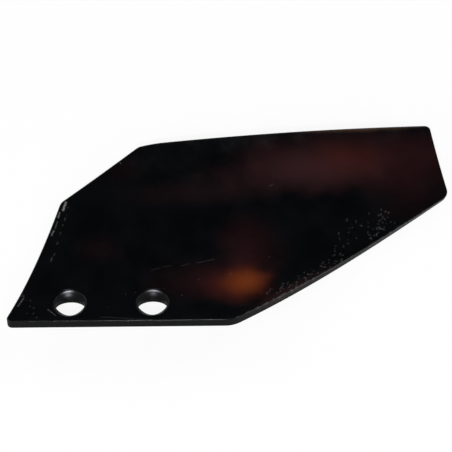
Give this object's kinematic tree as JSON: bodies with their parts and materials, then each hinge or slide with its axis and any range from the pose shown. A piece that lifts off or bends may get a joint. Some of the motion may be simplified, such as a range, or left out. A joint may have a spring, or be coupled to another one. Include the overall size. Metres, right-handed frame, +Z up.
{
  "type": "skimmer mouldboard",
  "caption": "Small curved steel plough mouldboard of rolled plate, with a slanting leading edge, a tapering wing and countersunk bolt holes by its lower edge.",
  "frame": {"origin": "on the ground under the middle of the plate's bounding box, as it lies on its convex back", "axes": "+X along the roll axis from the leading edge towards the wing, +Y from the bottom edge towards the top edge, +Z up, out of the concave front face"},
  "size_m": [0.3278, 0.1596, 0.0275],
  "materials": {
    "mouldboard": "gloss black enamel"
  },
  "bodies": {
    "root": {"mouldboard": "mouldboard"}
  },
  "joints": []
}
